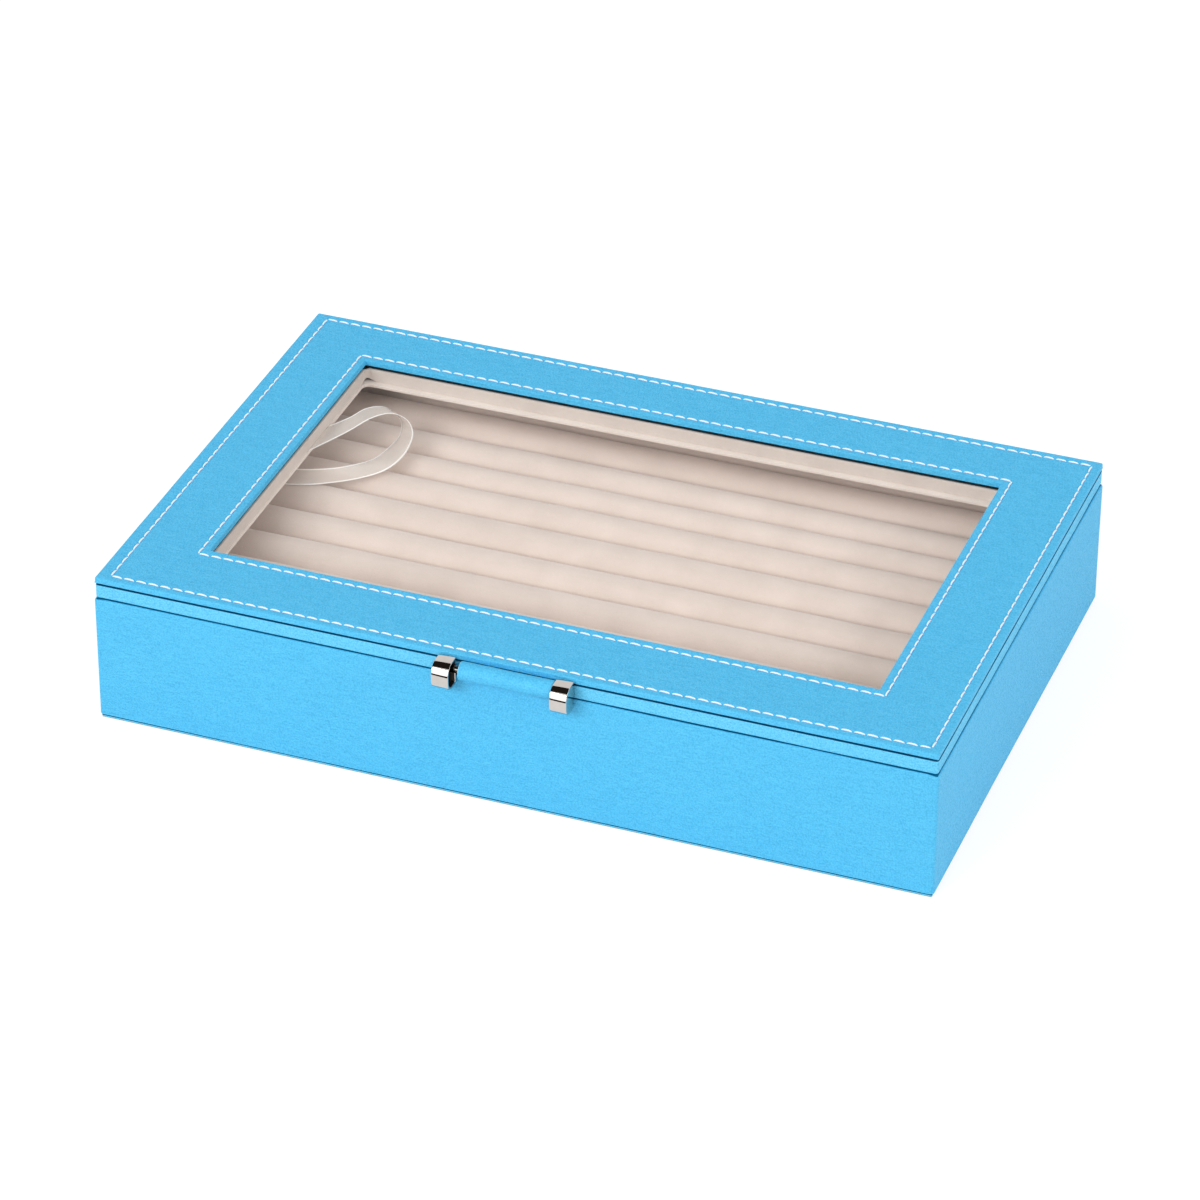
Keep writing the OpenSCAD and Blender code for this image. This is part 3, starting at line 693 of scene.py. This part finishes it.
def bottom_cover():
    """The leather-covered board under the case, its edge a little inside the walls. The top
    of that edge is painted dark as the groove's shade, its foot dark as the contact shadow,
    and the band between pale as a highlight."""
    low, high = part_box("bottom_cover")
    edge_r, step = 0.3 * MM, 10 * MM
    groove_shade_z, contact_shade_z = high.z - GROOVE_SHADE_HEIGHT, low.z + edge_r
    cover = add_block("bottom_cover_leather", low, high)
    open_edit(cover)
    select_whole("EDGE")
    bpy.ops.mesh.bevel(offset=edge_r, segments=4, affect="EDGES")
    cut_across(0, spread(low.x, high.x, step))
    cut_across(1, spread(low.y, high.y, step))
    cut_across(2, (groove_shade_z,))
    close_edit()
    smooth(cover)
    finish_piece(cover, leather, "blue_leather", "base", "bottom_cover")
    # Painted shade at the top of the edge and at the foot, and a painted highlight on the
    # band between
    paint_faces(cover, crevice_shade_leather, lambda f: f.center.z > groove_shade_z
                or (f.center.z < contact_shade_z and f.normal.z > -ALONG))
    paint_faces(cover, edge_highlight_leather, lambda f: contact_shade_z < f.center.z <= groove_shade_z)


# ---- Velvet pieces ----

# How far the crests lean back at the seams from the front lining to the back one, and
# how far each crest stands above or below its even height: the rolls are laid by hand
SEAM_LEANS = (0, 0.2, 0.5, 0.7, 0.7, 0.6, 1.4, 0.9, -0.7, -1.2, -0.5)
CREST_RISES = (0.2, 0.3, 0.4, 0.45, 0.4, 0.8, 0.65, -0.2, -0.75, -0.45)


def lean_roll(roll, index, low, high):
    """Leans a roll's upper part between its two seams, and raises or lowers its crest."""
    front, back = SEAM_LEANS[index], SEAM_LEANS[index + 1]
    for vertex in roll.data.vertices:
        up = (vertex.co.z - low.z) / (high.z - low.z)
        across = (vertex.co.y - low.y) / (high.y - low.y)
        vertex.co.y += up * (front + (back - front) * across) * MM
        vertex.co.z += up * CREST_RISES[index] * MM


def velvet_roll(index, node):
    """A foam rod in velvet: straight sides, a round crest and drawn-in ends."""
    low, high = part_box(node)
    crest = (high.y - low.y) / 2 - 0.1 * MM
    end_r = 2.2 * MM
    roll = add_block(node.replace("ring_roll", "velvet_roll"), low, high)
    open_edit(roll)
    select(roll, "EDGE", lambda e: middle(e).z > high.z - MM and abs(middle(e).x) < MM)
    bpy.ops.mesh.bevel(offset=crest, segments=12, affect="EDGES")
    select(roll, "EDGE", lambda e: e.is_manifold and e.calc_face_angle(0) > 0.8
           and abs(middle(e).x) > high.x - MM and middle(e).z > low.z + MM)
    bpy.ops.mesh.bevel(offset=end_r, segments=4, affect="EDGES")
    cut_across(0, spread(low.x, high.x, 4 * MM))
    cut_across(2, spread(low.z, high.z - crest, FACE_STEP))
    close_edit()
    lean_roll(roll, index, low, high)
    waver(roll, 0.5 * MM, 40 * MM)
    waver(roll, 0.1 * MM, 7 * MM)
    smooth(roll, 50)
    finish_piece(roll, velvet, "cream_velvet", "base", node)


def velvet_lining(side):
    """A board covered with velvet that lines one wall of the base."""
    node = f"{side}_lining"
    low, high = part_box(node)
    lining = add_block(f"{side}_lining_velvet", low, high)
    open_edit(lining)
    select_whole("EDGE")
    bpy.ops.mesh.bevel(offset=0.6 * MM, segments=4, affect="EDGES")
    for axis in range(3):
        if high[axis] - low[axis] > 10 * MM:
            cut_across(axis, spread(low[axis], high[axis], FACE_STEP))
    close_edit()
    waver(lining, 0.2 * MM, 30 * MM)
    smooth(lining)
    finish_piece(lining, velvet, "cream_velvet", "base", node)


# The window's rounded corners, and how far its velvet edge stands above the CAD's
WINDOW_CORNER_R = 2.6 * MM
EDGE_VELVET_RISE = 0.2 * MM

# The fine cuts near the window's back left corner, and the gathers there: how far they
# reach, how far they lift the velvet, and how deep and how narrow the folds are
FINE_REACH, FINE_STEP = 7 * MM, 0.7 * MM
GATHER_REACH = 4.5 * MM
GATHER_LIFT = 1.4 * MM
GATHER_DEPTH = 0.35 * MM
GATHER_WAVE = 0.33 * MM


def window_edge_velvet():
    """Velvet glued round the inner edge of the lid frame, rounded in the corners."""
    nodes = [f"edge_velvet_{side}" for side in SIDES]
    low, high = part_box(nodes[0])
    high.z += EDGE_VELVET_RISE
    thick = high.y - low.y
    outer_low = (WINDOW_LOW.x - thick, WINDOW_LOW.y - thick, low.z)
    outer_high = (WINDOW_HIGH.x + thick, WINDOW_HIGH.y + thick, high.z)
    strip = add_block("window_edge_velvet", outer_low, outer_high)
    open_edit(strip)
    select(strip, "FACE", lambda f: abs(f.normal.z) > ALONG)
    bpy.ops.mesh.delete(type="FACE")
    select(strip, "EDGE", lambda e: abs(e.verts[0].co.z - e.verts[1].co.z) > MM)
    bpy.ops.mesh.bevel(offset=WINDOW_CORNER_R, segments=6, affect="EDGES")
    cut_across(0, spread(WINDOW_LOW.x, WINDOW_HIGH.x, FACE_STEP))
    cut_across(1, spread(WINDOW_LOW.y, WINDOW_HIGH.y, FACE_STEP))
    cut_across(0, spread(WINDOW_LOW.x, WINDOW_LOW.x + FINE_REACH, FINE_STEP))
    cut_across(1, spread(WINDOW_HIGH.y - FINE_REACH, WINDOW_HIGH.y, FINE_STEP))
    cut_across(2, spread(low.z, high.z, MM))
    close_edit()
    gather_corner(strip, low.z, high.z)
    waver(strip, 0.25 * MM, 18 * MM)
    apply_modifier(strip, "SOLIDIFY", thickness=thick, offset=-1)
    apply_modifier(strip, "BEVEL", width=0.25 * MM, segments=2, limit_method="ANGLE",
                   angle_limit=math.radians(60))
    smooth(strip, 50)
    # The edge strip wears the greyer copy of the velvet as painted shade
    finish_piece(strip, shaded_edge_velvet, "cream_velvet", "lid", *nodes)


def gather_corner(strip, low_z, high_z):
    """Lifts and gathers the velvet in the window's back left corner, where its ends meet
    over a small gap."""
    corner = Vector((WINDOW_LOW.x, WINDOW_HIGH.y))
    for vertex in strip.data.vertices:
        away = (vertex.co.xy - corner).length
        up = (vertex.co.z - low_z) / (high_z - low_z)
        if away < GATHER_REACH:
            near = 1 - away / GATHER_REACH
            vertex.co.z += GATHER_LIFT * near * (1 - up)
            wave = math.sin((vertex.co.x - vertex.co.y) / GATHER_WAVE)
            fold = GATHER_DEPTH * near * up * wave
            vertex.co.x += fold
            vertex.co.y -= fold


# How much less the left lining stands out into the window than the others
LEFT_LEDGE_SHORT = 1.9 * MM


def lid_ledge_velvet():
    """The velvet-covered lining under the lid frame, whose inner edge shows in the
    window, with rounded inner corners."""
    nodes = [f"lid_lining_{side}" for side in SIDES]
    low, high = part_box(nodes[0])
    inner_low = LEDGE_LOW - Vector((LEFT_LEDGE_SHORT, 0))
    size = LEDGE_HIGH - inner_low
    centre = (inner_low + LEDGE_HIGH) / 2
    bpy.ops.object.select_all(action="DESELECT")
    bpy.ops.mesh.primitive_plane_add(size=1, location=(centre.x, centre.y, high.z))
    ledge = named("lid_ledge_velvet")
    ledge.scale = (size.x, size.y, 1)
    settle(ledge)
    open_edit(ledge)
    select_whole("VERT")
    bpy.ops.mesh.bevel(offset=WINDOW_CORNER_R, segments=6, affect="VERTICES")
    select(ledge, "EDGE", lambda e: e.is_boundary)
    bpy.ops.mesh.extrude_edges_move(TRANSFORM_OT_translate={"value": (0, 0, 0)})
    place_corners(ledge, Vector((-TONGUE[0], -TONGUE[1])), Vector(TONGUE))
    select(ledge, "FACE", lambda f: len(f.verts) > 8)
    bpy.ops.mesh.delete(type="FACE")
    bpy.ops.mesh.select_all(action="SELECT")
    bpy.ops.mesh.remove_doubles(threshold=0.01 * MM)
    bpy.ops.mesh.normals_make_consistent(inside=False)
    cut_across(0, spread(-TONGUE[0], TONGUE[0], FACE_STEP))
    cut_across(1, spread(-TONGUE[1], TONGUE[1], FACE_STEP))
    close_edit()
    apply_modifier(ledge, "SOLIDIFY", thickness=high.z - low.z, offset=-1)
    apply_modifier(ledge, "BEVEL", width=0.5 * MM, segments=4, limit_method="ANGLE",
                   angle_limit=math.radians(60))
    waver(ledge, 0.08 * MM, 30 * MM)
    smooth(ledge, 50)
    # The ledge wears the paler copy of the velvet as painted light
    finish_piece(ledge, lit_ledge_velvet, "cream_velvet", "lid", *nodes)


# ---- Stitches ----

def thread_loop():
    """One stitch lying along X: a short thick thread whose ends dip into the leather."""
    half_l, half_w, half_h = 1.93 * MM, 0.31 * MM, 0.34 * MM
    bpy.ops.object.select_all(action="DESELECT")
    bpy.ops.mesh.primitive_uv_sphere_add(segments=8, ring_count=7, radius=1)
    stitch = named("thread_loop")
    stitch.rotation_euler = (0, math.pi / 2, 0)
    stitch.scale = (half_h, half_w, half_l)
    settle(stitch)
    # fuller along its length and bowed sideways, then drawn down at both ends
    for vertex in stitch.data.vertices:
        share = vertex.co.x / half_l
        vertex.co.x *= 1 + 0.4 * (1 - share * share)
        vertex.co.y += 0.25 * MM * (0.4 - share * share)
    open_edit(stitch)
    for share, drop in ((0.75, 0.05), (0.95, 0.2)):
        select(stitch, "VERT", lambda v: abs(v.co.x) > share * half_l)
        bpy.ops.transform.translate(value=(0, 0, -drop * MM))
    close_edit()
    return stitch


def stitch_places(node):
    """The middle of each of the node's stitches, from the loose parts of its mesh."""
    parts = bmesh.new()
    parts.from_mesh(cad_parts[node].data)
    bmesh.ops.remove_doubles(parts, verts=parts.verts, dist=0.001 * MM)
    seen, places = set(), []
    for start in parts.verts:
        if start in seen:
            continue
        group, todo = [], [start]
        seen.add(start)
        while todo:
            vertex = todo.pop()
            group.append(vertex.co.copy())
            for edge in vertex.link_edges:
                other = edge.other_vert(vertex)
                if other not in seen:
                    seen.add(other)
                    todo.append(other)
        low = Vector(min(co[i] for co in group) for i in range(3))
        high = Vector(max(co[i] for co in group) for i in range(3))
        places.append((low, high))
    parts.free()
    return places


def stitch_line(node, name, slant):
    model = thread_loop()
    copies = []
    for low, high in stitch_places(node):
        along_y = high.y - low.y > high.x - low.x
        centre = (low + high) / 2
        centre.z = high.z - 0.12 * MM
        turn = (math.pi / 2 if along_y else 0) - math.radians(slant)
        copy = model.copy()
        copy.data = model.data.copy()
        copy.data.transform(Matrix.Translation(centre) @ Matrix.Rotation(turn, 4, "Z"))
        bpy.context.collection.objects.link(copy)
        copies.append(copy)
    bpy.data.objects.remove(model)
    pick_piece(copies[0])
    for copy in copies:
        copy.select_set(True)
    bpy.ops.object.join()
    line = named(name)
    smooth(line, 80)
    finish_piece(line, thread, "white_thread", "lid", node)


# ---- Handle ----

# How far the caps stand off the base's front, and the roll off the left cap
CAP_GAP = 0.3 * MM
GRIP_GAP = 0.2 * MM


def chrome_cap(side, sign):
    """A polished cap, round at the front, hollow and open towards the roll."""
    node = f"handle_cap_{side}"
    low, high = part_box(node)
    high.y = BASE_LOW.y - CAP_GAP
    wall, front_r = 0.8 * MM, 4 * MM
    centre = (low + high) / 2
    cap = add_block(f"chrome_cap_{side}", low, high)
    open_edit(cap)
    select(cap, "EDGE", lambda e: middle(e).y < low.y + MM / 2
           and abs(e.verts[0].co.x - e.verts[1].co.x) > MM)
    bpy.ops.mesh.bevel(offset=front_r, segments=16, affect="EDGES")
    select(cap, "FACE", facing(0, -sign))
    bpy.ops.mesh.inset(thickness=wall, depth=0)
    bpy.ops.mesh.extrude_region_move(
        TRANSFORM_OT_translate={"value": (sign * (high.x - low.x - wall), 0, 0)})
    close_edit()
    finish_piece(cap, chrome, "polished_chrome", "lid", node)
    # The inner faces of the cap are painted near black as the shade in its hollow
    paint_faces(cap, bore, lambda f: (centre - f.center).dot(f.normal) > 0)
    apply_modifier(cap, "BEVEL", width=0.3 * MM, segments=3, limit_method="ANGLE",
                   angle_limit=math.radians(40), material=0)
    smooth(cap, 30)


def leather_grip():
    """Leather rolled round the rod, its ends turned in, with a rim painted paler where the
    left end stands free, partly as wear and partly as a painted highlight."""
    low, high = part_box("handle_grip")
    rim, mouth, mouth_depth, edge_r, pale_rim_width = 1.3 * MM, 0.3 * MM, 0.9 * MM, 0.35 * MM, 0.7 * MM
    low.x += GRIP_GAP
    radius = (high.z - low.z) / 2
    centre = (low + high) / 2
    bpy.ops.object.select_all(action="DESELECT")
    bpy.ops.mesh.primitive_cylinder_add(vertices=48, radius=radius, depth=high.x - low.x,
                                        location=centre, rotation=(0, math.pi / 2, 0))
    grip = named("leather_grip")
    settle(grip)
    open_edit(grip)
    select(grip, "FACE", lambda f: abs(f.normal.x) > ALONG)
    bpy.ops.mesh.inset(thickness=rim, depth=0, use_individual=True)
    bpy.ops.mesh.inset(thickness=mouth, depth=-mouth_depth, use_individual=True)
    select(grip, "EDGE", sharp)
    bpy.ops.mesh.bevel(offset=edge_r, segments=4, affect="EDGES")
    cut_across(0, spread(low.x, high.x, 1.5 * MM))
    close_edit()
    waver(grip, 0.3 * MM, 9 * MM)
    waver(grip, 0.1 * MM, 2.5 * MM)
    smooth(grip, 50)
    finish_piece(grip, leather, "blue_leather", "lid", "handle_grip")
    # The free end's rim is painted paler, partly as wear and partly as a highlight
    paint_faces(grip, wear_and_highlight_leather, lambda f: f.normal.x < -0.35
                and (f.center - centre).yz.length > radius - pale_rim_width)


# ---- Ribbon stay ----

# The same route as the CAD ribbon: an edge point and the way to the other edge, in mm,
# measured from the left lining, the middle of the case and the roll crests
RIBBON_WIDTH = 10 * MM
RIBBON_LID_END = ((0.3, 16.5, 0.4), (0.3, 35, 0.4))
RIBBON_LOOP = (
    ((26.5, 31.5, 11), (-2.5, 10, 0.5)),
    ((32, 41.5, 12.5), (-5, 8.5, -1.5)),
    ((37, 48, 12), (-5.5, 8, -3)),
    ((42, 50, 9.5), (-5.5, 7, -5)),
    ((45.5, 47, 7), (-7, 4.5, -5.5)),
    ((47, 40.5, 5.5), (-9, 1.5, -4)),
    ((46.5, 33, 4), (-10, -1, -1.5)),
    ((43.5, 25, 3), (-9.5, -3, 2.5)),
    ((37, 18, 2.5), (-8, -3.5, 4.5)),
    ((28.5, 12.5, 2), (-8.5, -2, 5)),
    ((19.5, 8.5, 1.5), (-9, 1.5, 4.5)),
    ((11, 7.5, 1.5), (-7.5, 6, 2.5)),
    ((0.3, 11, 4), (0, 10, 0)),
)
RIBBON_STEPS = 6
RIBBON_COLUMNS = 10


def ribbon_stations():
    """Both edges of the ribbon at each station, in metres."""
    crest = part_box("ring_roll_01")[1].z
    lining = Vector((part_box("left_lining")[1].x, 0, crest))
    ledge = Vector((WINDOW_LOW.x, 0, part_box("lid_lining_front")[1].z))
    stations = [tuple(ledge + Vector(p) * MM for p in RIBBON_LID_END)]
    for point, way in RIBBON_LOOP:
        edge = lining + Vector(point) * MM
        stations.append((edge, edge + Vector(way).normalized() * RIBBON_WIDTH))
    return stations


def through(points, k, share):
    """Catmull-Rom between points k and k + 1."""
    p = [points[min(max(i, 0), len(points) - 1)] for i in range(k - 1, k + 3)]
    t = share
    return ((p[1] * 2) + (p[2] - p[0]) * t + (p[0] * 2 - p[1] * 5 + p[2] * 4 - p[3]) * t * t
            + (p[1] * 3 - p[0] - p[2] * 3 + p[3]) * t * t * t) / 2


def ribbon_stay():
    stations = ribbon_stations()
    edges = [[s[side] for s in stations] for side in (0, 1)]
    rows = []
    for k in range(len(stations) - 1):
        for step in range(RIBBON_STEPS):
            rows.append([through(edge, k, step / RIBBON_STEPS) for edge in edges])
    rows.append([edge[-1] for edge in edges])
    bpy.ops.object.select_all(action="DESELECT")
    bpy.ops.mesh.primitive_grid_add(x_subdivisions=RIBBON_COLUMNS,
                                    y_subdivisions=len(rows) - 1, size=1)
    ribbon = named("organza_ribbon")
    middles = [(left + right) / 2 for left, right in rows]
    lengths = [0]
    for last, centre in zip(middles, middles[1:]):
        lengths.append(lengths[-1] + (centre - last).length)
    across = RIBBON_COLUMNS + 1
    for index, vertex in enumerate(ribbon.data.vertices):
        k, column = divmod(index, across)
        vertex.co = rows[k][0].lerp(rows[k][1], column / RIBBON_COLUMNS)
    layer = ribbon.data.uv_layers[0]
    layer.name = "ribbon"
    for loop in ribbon.data.loops:
        k, column = divmod(loop.vertex_index, across)
        layer.data[loop.index].uv = (column / RIBBON_COLUMNS, lengths[k])
    apply_modifier(ribbon, "SOLIDIFY", thickness=0.15 * MM, offset=0)
    smooth(ribbon, 60)
    finish_piece(ribbon, organza, "ribbon", None, "stay_ribbon")
    return ribbon


# ---- CAD nodes that show as they are ----

def dress(material, *nodes):
    for node in nodes:
        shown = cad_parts[node]
        shown.data.materials.clear()
        shown.data.materials.append(material)


def dress_nodes():
    dress(board, "floor_board", "insert_board", *(f"{side}_wall" for side in SIDES))
    # The lid frames are painted black as the shade in the gap under the window's edge
    dress(frame_board_painted_black, *(f"lid_frame_{side}" for side in SIDES))
    dress(card, "panel_board")
    dress(glass, "glass_pane")
    # The rod is painted dark as the shade between the cap and the grip
    dress(rod_chrome_painted_dark, "handle_rod")
    dress(steel, "base_hinge_screws", "lid_hinge_screws",
          *(f"{part}_{side}" for part in ("base_hinge_leaf", "lid_hinge_leaf", "hinge_pin")
            for side in HINGES))


# ---- Camera, light and floor ----

# The camera, solved from the photo: the picture's size and the focal length in pixels, the
# sensor in mm, three angles in degrees, and the point looked at and its distance in mm
IMAGE_SIZE = 1200
FOCAL_PIXELS = 5240.12
SENSOR = 36
CAMERA_TURN, CAMERA_RISE, CAMERA_ROLL = (math.radians(a) for a in (20.148, 32.663, 0.399))
CAMERA_TARGET = Vector((-14.634, 32.553, 0)) * MM
CAMERA_DISTANCE = 1815.327 * MM


def place_camera():
    back = Vector((math.sin(CAMERA_TURN) * math.cos(CAMERA_RISE),
                   -math.cos(CAMERA_TURN) * math.cos(CAMERA_RISE), math.sin(CAMERA_RISE)))
    right = Vector((math.cos(CAMERA_TURN), math.sin(CAMERA_TURN), 0))
    up = back.cross(right)
    cos_roll, sin_roll = math.cos(CAMERA_ROLL), math.sin(CAMERA_ROLL)
    right, up = right * cos_roll + up * sin_roll, up * cos_roll - right * sin_roll
    turn = Matrix((right, up, back)).transposed().to_4x4()
    data = bpy.data.cameras.new("photo_camera")
    data.sensor_width = SENSOR
    data.lens = FOCAL_PIXELS / IMAGE_SIZE * SENSOR
    data.clip_end = 20
    camera = bpy.data.objects.new("photo_camera", data)
    camera.matrix_world = Matrix.Translation(CAMERA_TARGET + back * CAMERA_DISTANCE) @ turn
    bpy.context.collection.objects.link(camera)
    bpy.context.scene.camera = camera


def path_share(owner, *rays):
    """1 for any of these kinds of ray, else 0."""
    path = add_node(owner, "ShaderNodeLightPath")
    total = path.outputs[rays[0]]
    for ray in rays[1:]:
        total = calc(owner, "MAXIMUM", total, path.outputs[ray])
    return total


# The rays that see the floor and the room, where others are only lit by them
SEEING_RAYS = ("Is Camera Ray", "Is Glossy Ray", "Is Transmission Ray")


def pale_world(level):
    """A room that is white to look at, and that lights the case at the given level."""
    world = bpy.data.worlds.new("pale_room")
    bpy.context.scene.world = world
    world.use_nodes = True
    light = world.node_tree.nodes["Background"]
    set_sockets(light, Color=WHITE, Strength=level)
    white = add_node(world, "ShaderNodeBackground", Color=WHITE, Strength=1)
    mix = add_node(world, "ShaderNodeMixShader", _0=path_share(world, *SEEING_RAYS),
                   _1=light.outputs[0], _2=white.outputs[0])
    link_surface(world, mix, "World Output")


# How bright the floor is to look at, beyond what falls on it, its size in metres, and how
# far it lies under the case
FLOOR_GLOW = 0.78
FLOOR_SIZE = 6
FLOOR_DROP = 0.02 * MM


def pale_floor():
    """A white floor that keeps the case's shadow."""
    bpy.ops.object.select_all(action="DESELECT")
    bpy.ops.mesh.primitive_plane_add(size=FLOOR_SIZE, location=(0, 0, -FLOOR_DROP))
    floor = named("pale_floor")
    paper = new_material("white paper floor")
    seen = path_share(paper, *SEEING_RAYS)
    set_sockets(shader_of(paper), Roughness=1, Specular_IOR_Level=0)
    link(paper, blend_colours(paper, seen, (0.82, 0.82, 0.82), (0.3, 0.3, 0.3)), "Base Color")
    glow = add_node(paper, "ShaderNodeEmission", Color=WHITE,
                    Strength=calc(paper, "MULTIPLY", seen, FLOOR_GLOW))
    both = add_node(paper, "ShaderNodeAddShader", _0=shader_of(paper).outputs[0],
                    _1=glow.outputs[0])
    link_surface(paper, both)
    floor.data.materials.append(paper)


def add_softbox(name, place, aim, size, power):
    data = bpy.data.lights.new(name, "AREA")
    data.shape = "RECTANGLE"
    data.size, data.size_y = size
    data.energy = power
    lamp = bpy.data.objects.new(name, data)
    way = (Vector(aim) - Vector(place)).normalized()
    turn = way.to_track_quat("-Z", "Y").to_matrix().to_4x4()
    lamp.matrix_world = Matrix.Translation(place) @ turn
    bpy.context.collection.objects.link(lamp)


def add_card(name, low, high, colour, strength):
    """A studio card that only polished surfaces mirror."""
    card_piece = add_block(name, low, high)
    paint = new_material(f"{name} paint")
    glow = add_node(paint, "ShaderNodeEmission", Color=(*colour, 1), Strength=strength)
    link_surface(paint, glow)
    card_piece.data.materials.append(paint)
    for ray in ("camera", "diffuse", "transmission", "volume_scatter", "shadow"):
        setattr(card_piece, f"visible_{ray}", False)


def studio_cards():
    """What the chrome mirrors: a dark ceiling, and a white card over a thin dark edge."""
    add_card("dark_ceiling", (-2.5, -0.75, 1), (2.5, 0.45, 1.01), (1, 0.8, 0.65), 0.02)
    add_card("white_card", (-1, -0.241, 0.021), (1, -0.24, 0.11), (1, 1, 1), 1.9)
    add_card("dark_edge", (-1, -0.24, 0.0005), (1, -0.196, 0.02), (1, 1, 1), 0.01)


# ---- Making ----

place_camera()
pale_world(0.70)
pale_floor()
studio_cards()
add_softbox("front_softbox", (-0.9, -2.3, 1.5), (0, 0, 0), (1.6, 1.0), 45)
add_softbox("right_softbox", (2.4, -0.2, 1.2), (0, 0, 0), (1.2, 1.2), 23)

base_leather_wrap()
bottom_cover()
lid_band_wrap()
top_panel()
for roll_index, roll_node in enumerate(ROLLS):
    velvet_roll(roll_index, roll_node)
for lining_side in SIDES:
    velvet_lining(lining_side)
window_edge_velvet()
lid_ledge_velvet()
stitch_line("outer_stitching", "outer_stitches", 4)
stitch_line("inner_stitching", "inner_stitches", 4)
chrome_cap("left", -1)
chrome_cap("right", 1)
leather_grip()
ribbon = ribbon_stay()
dress_nodes()

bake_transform(ribbon)

bpy.context.scene.view_settings.view_transform = "Standard"
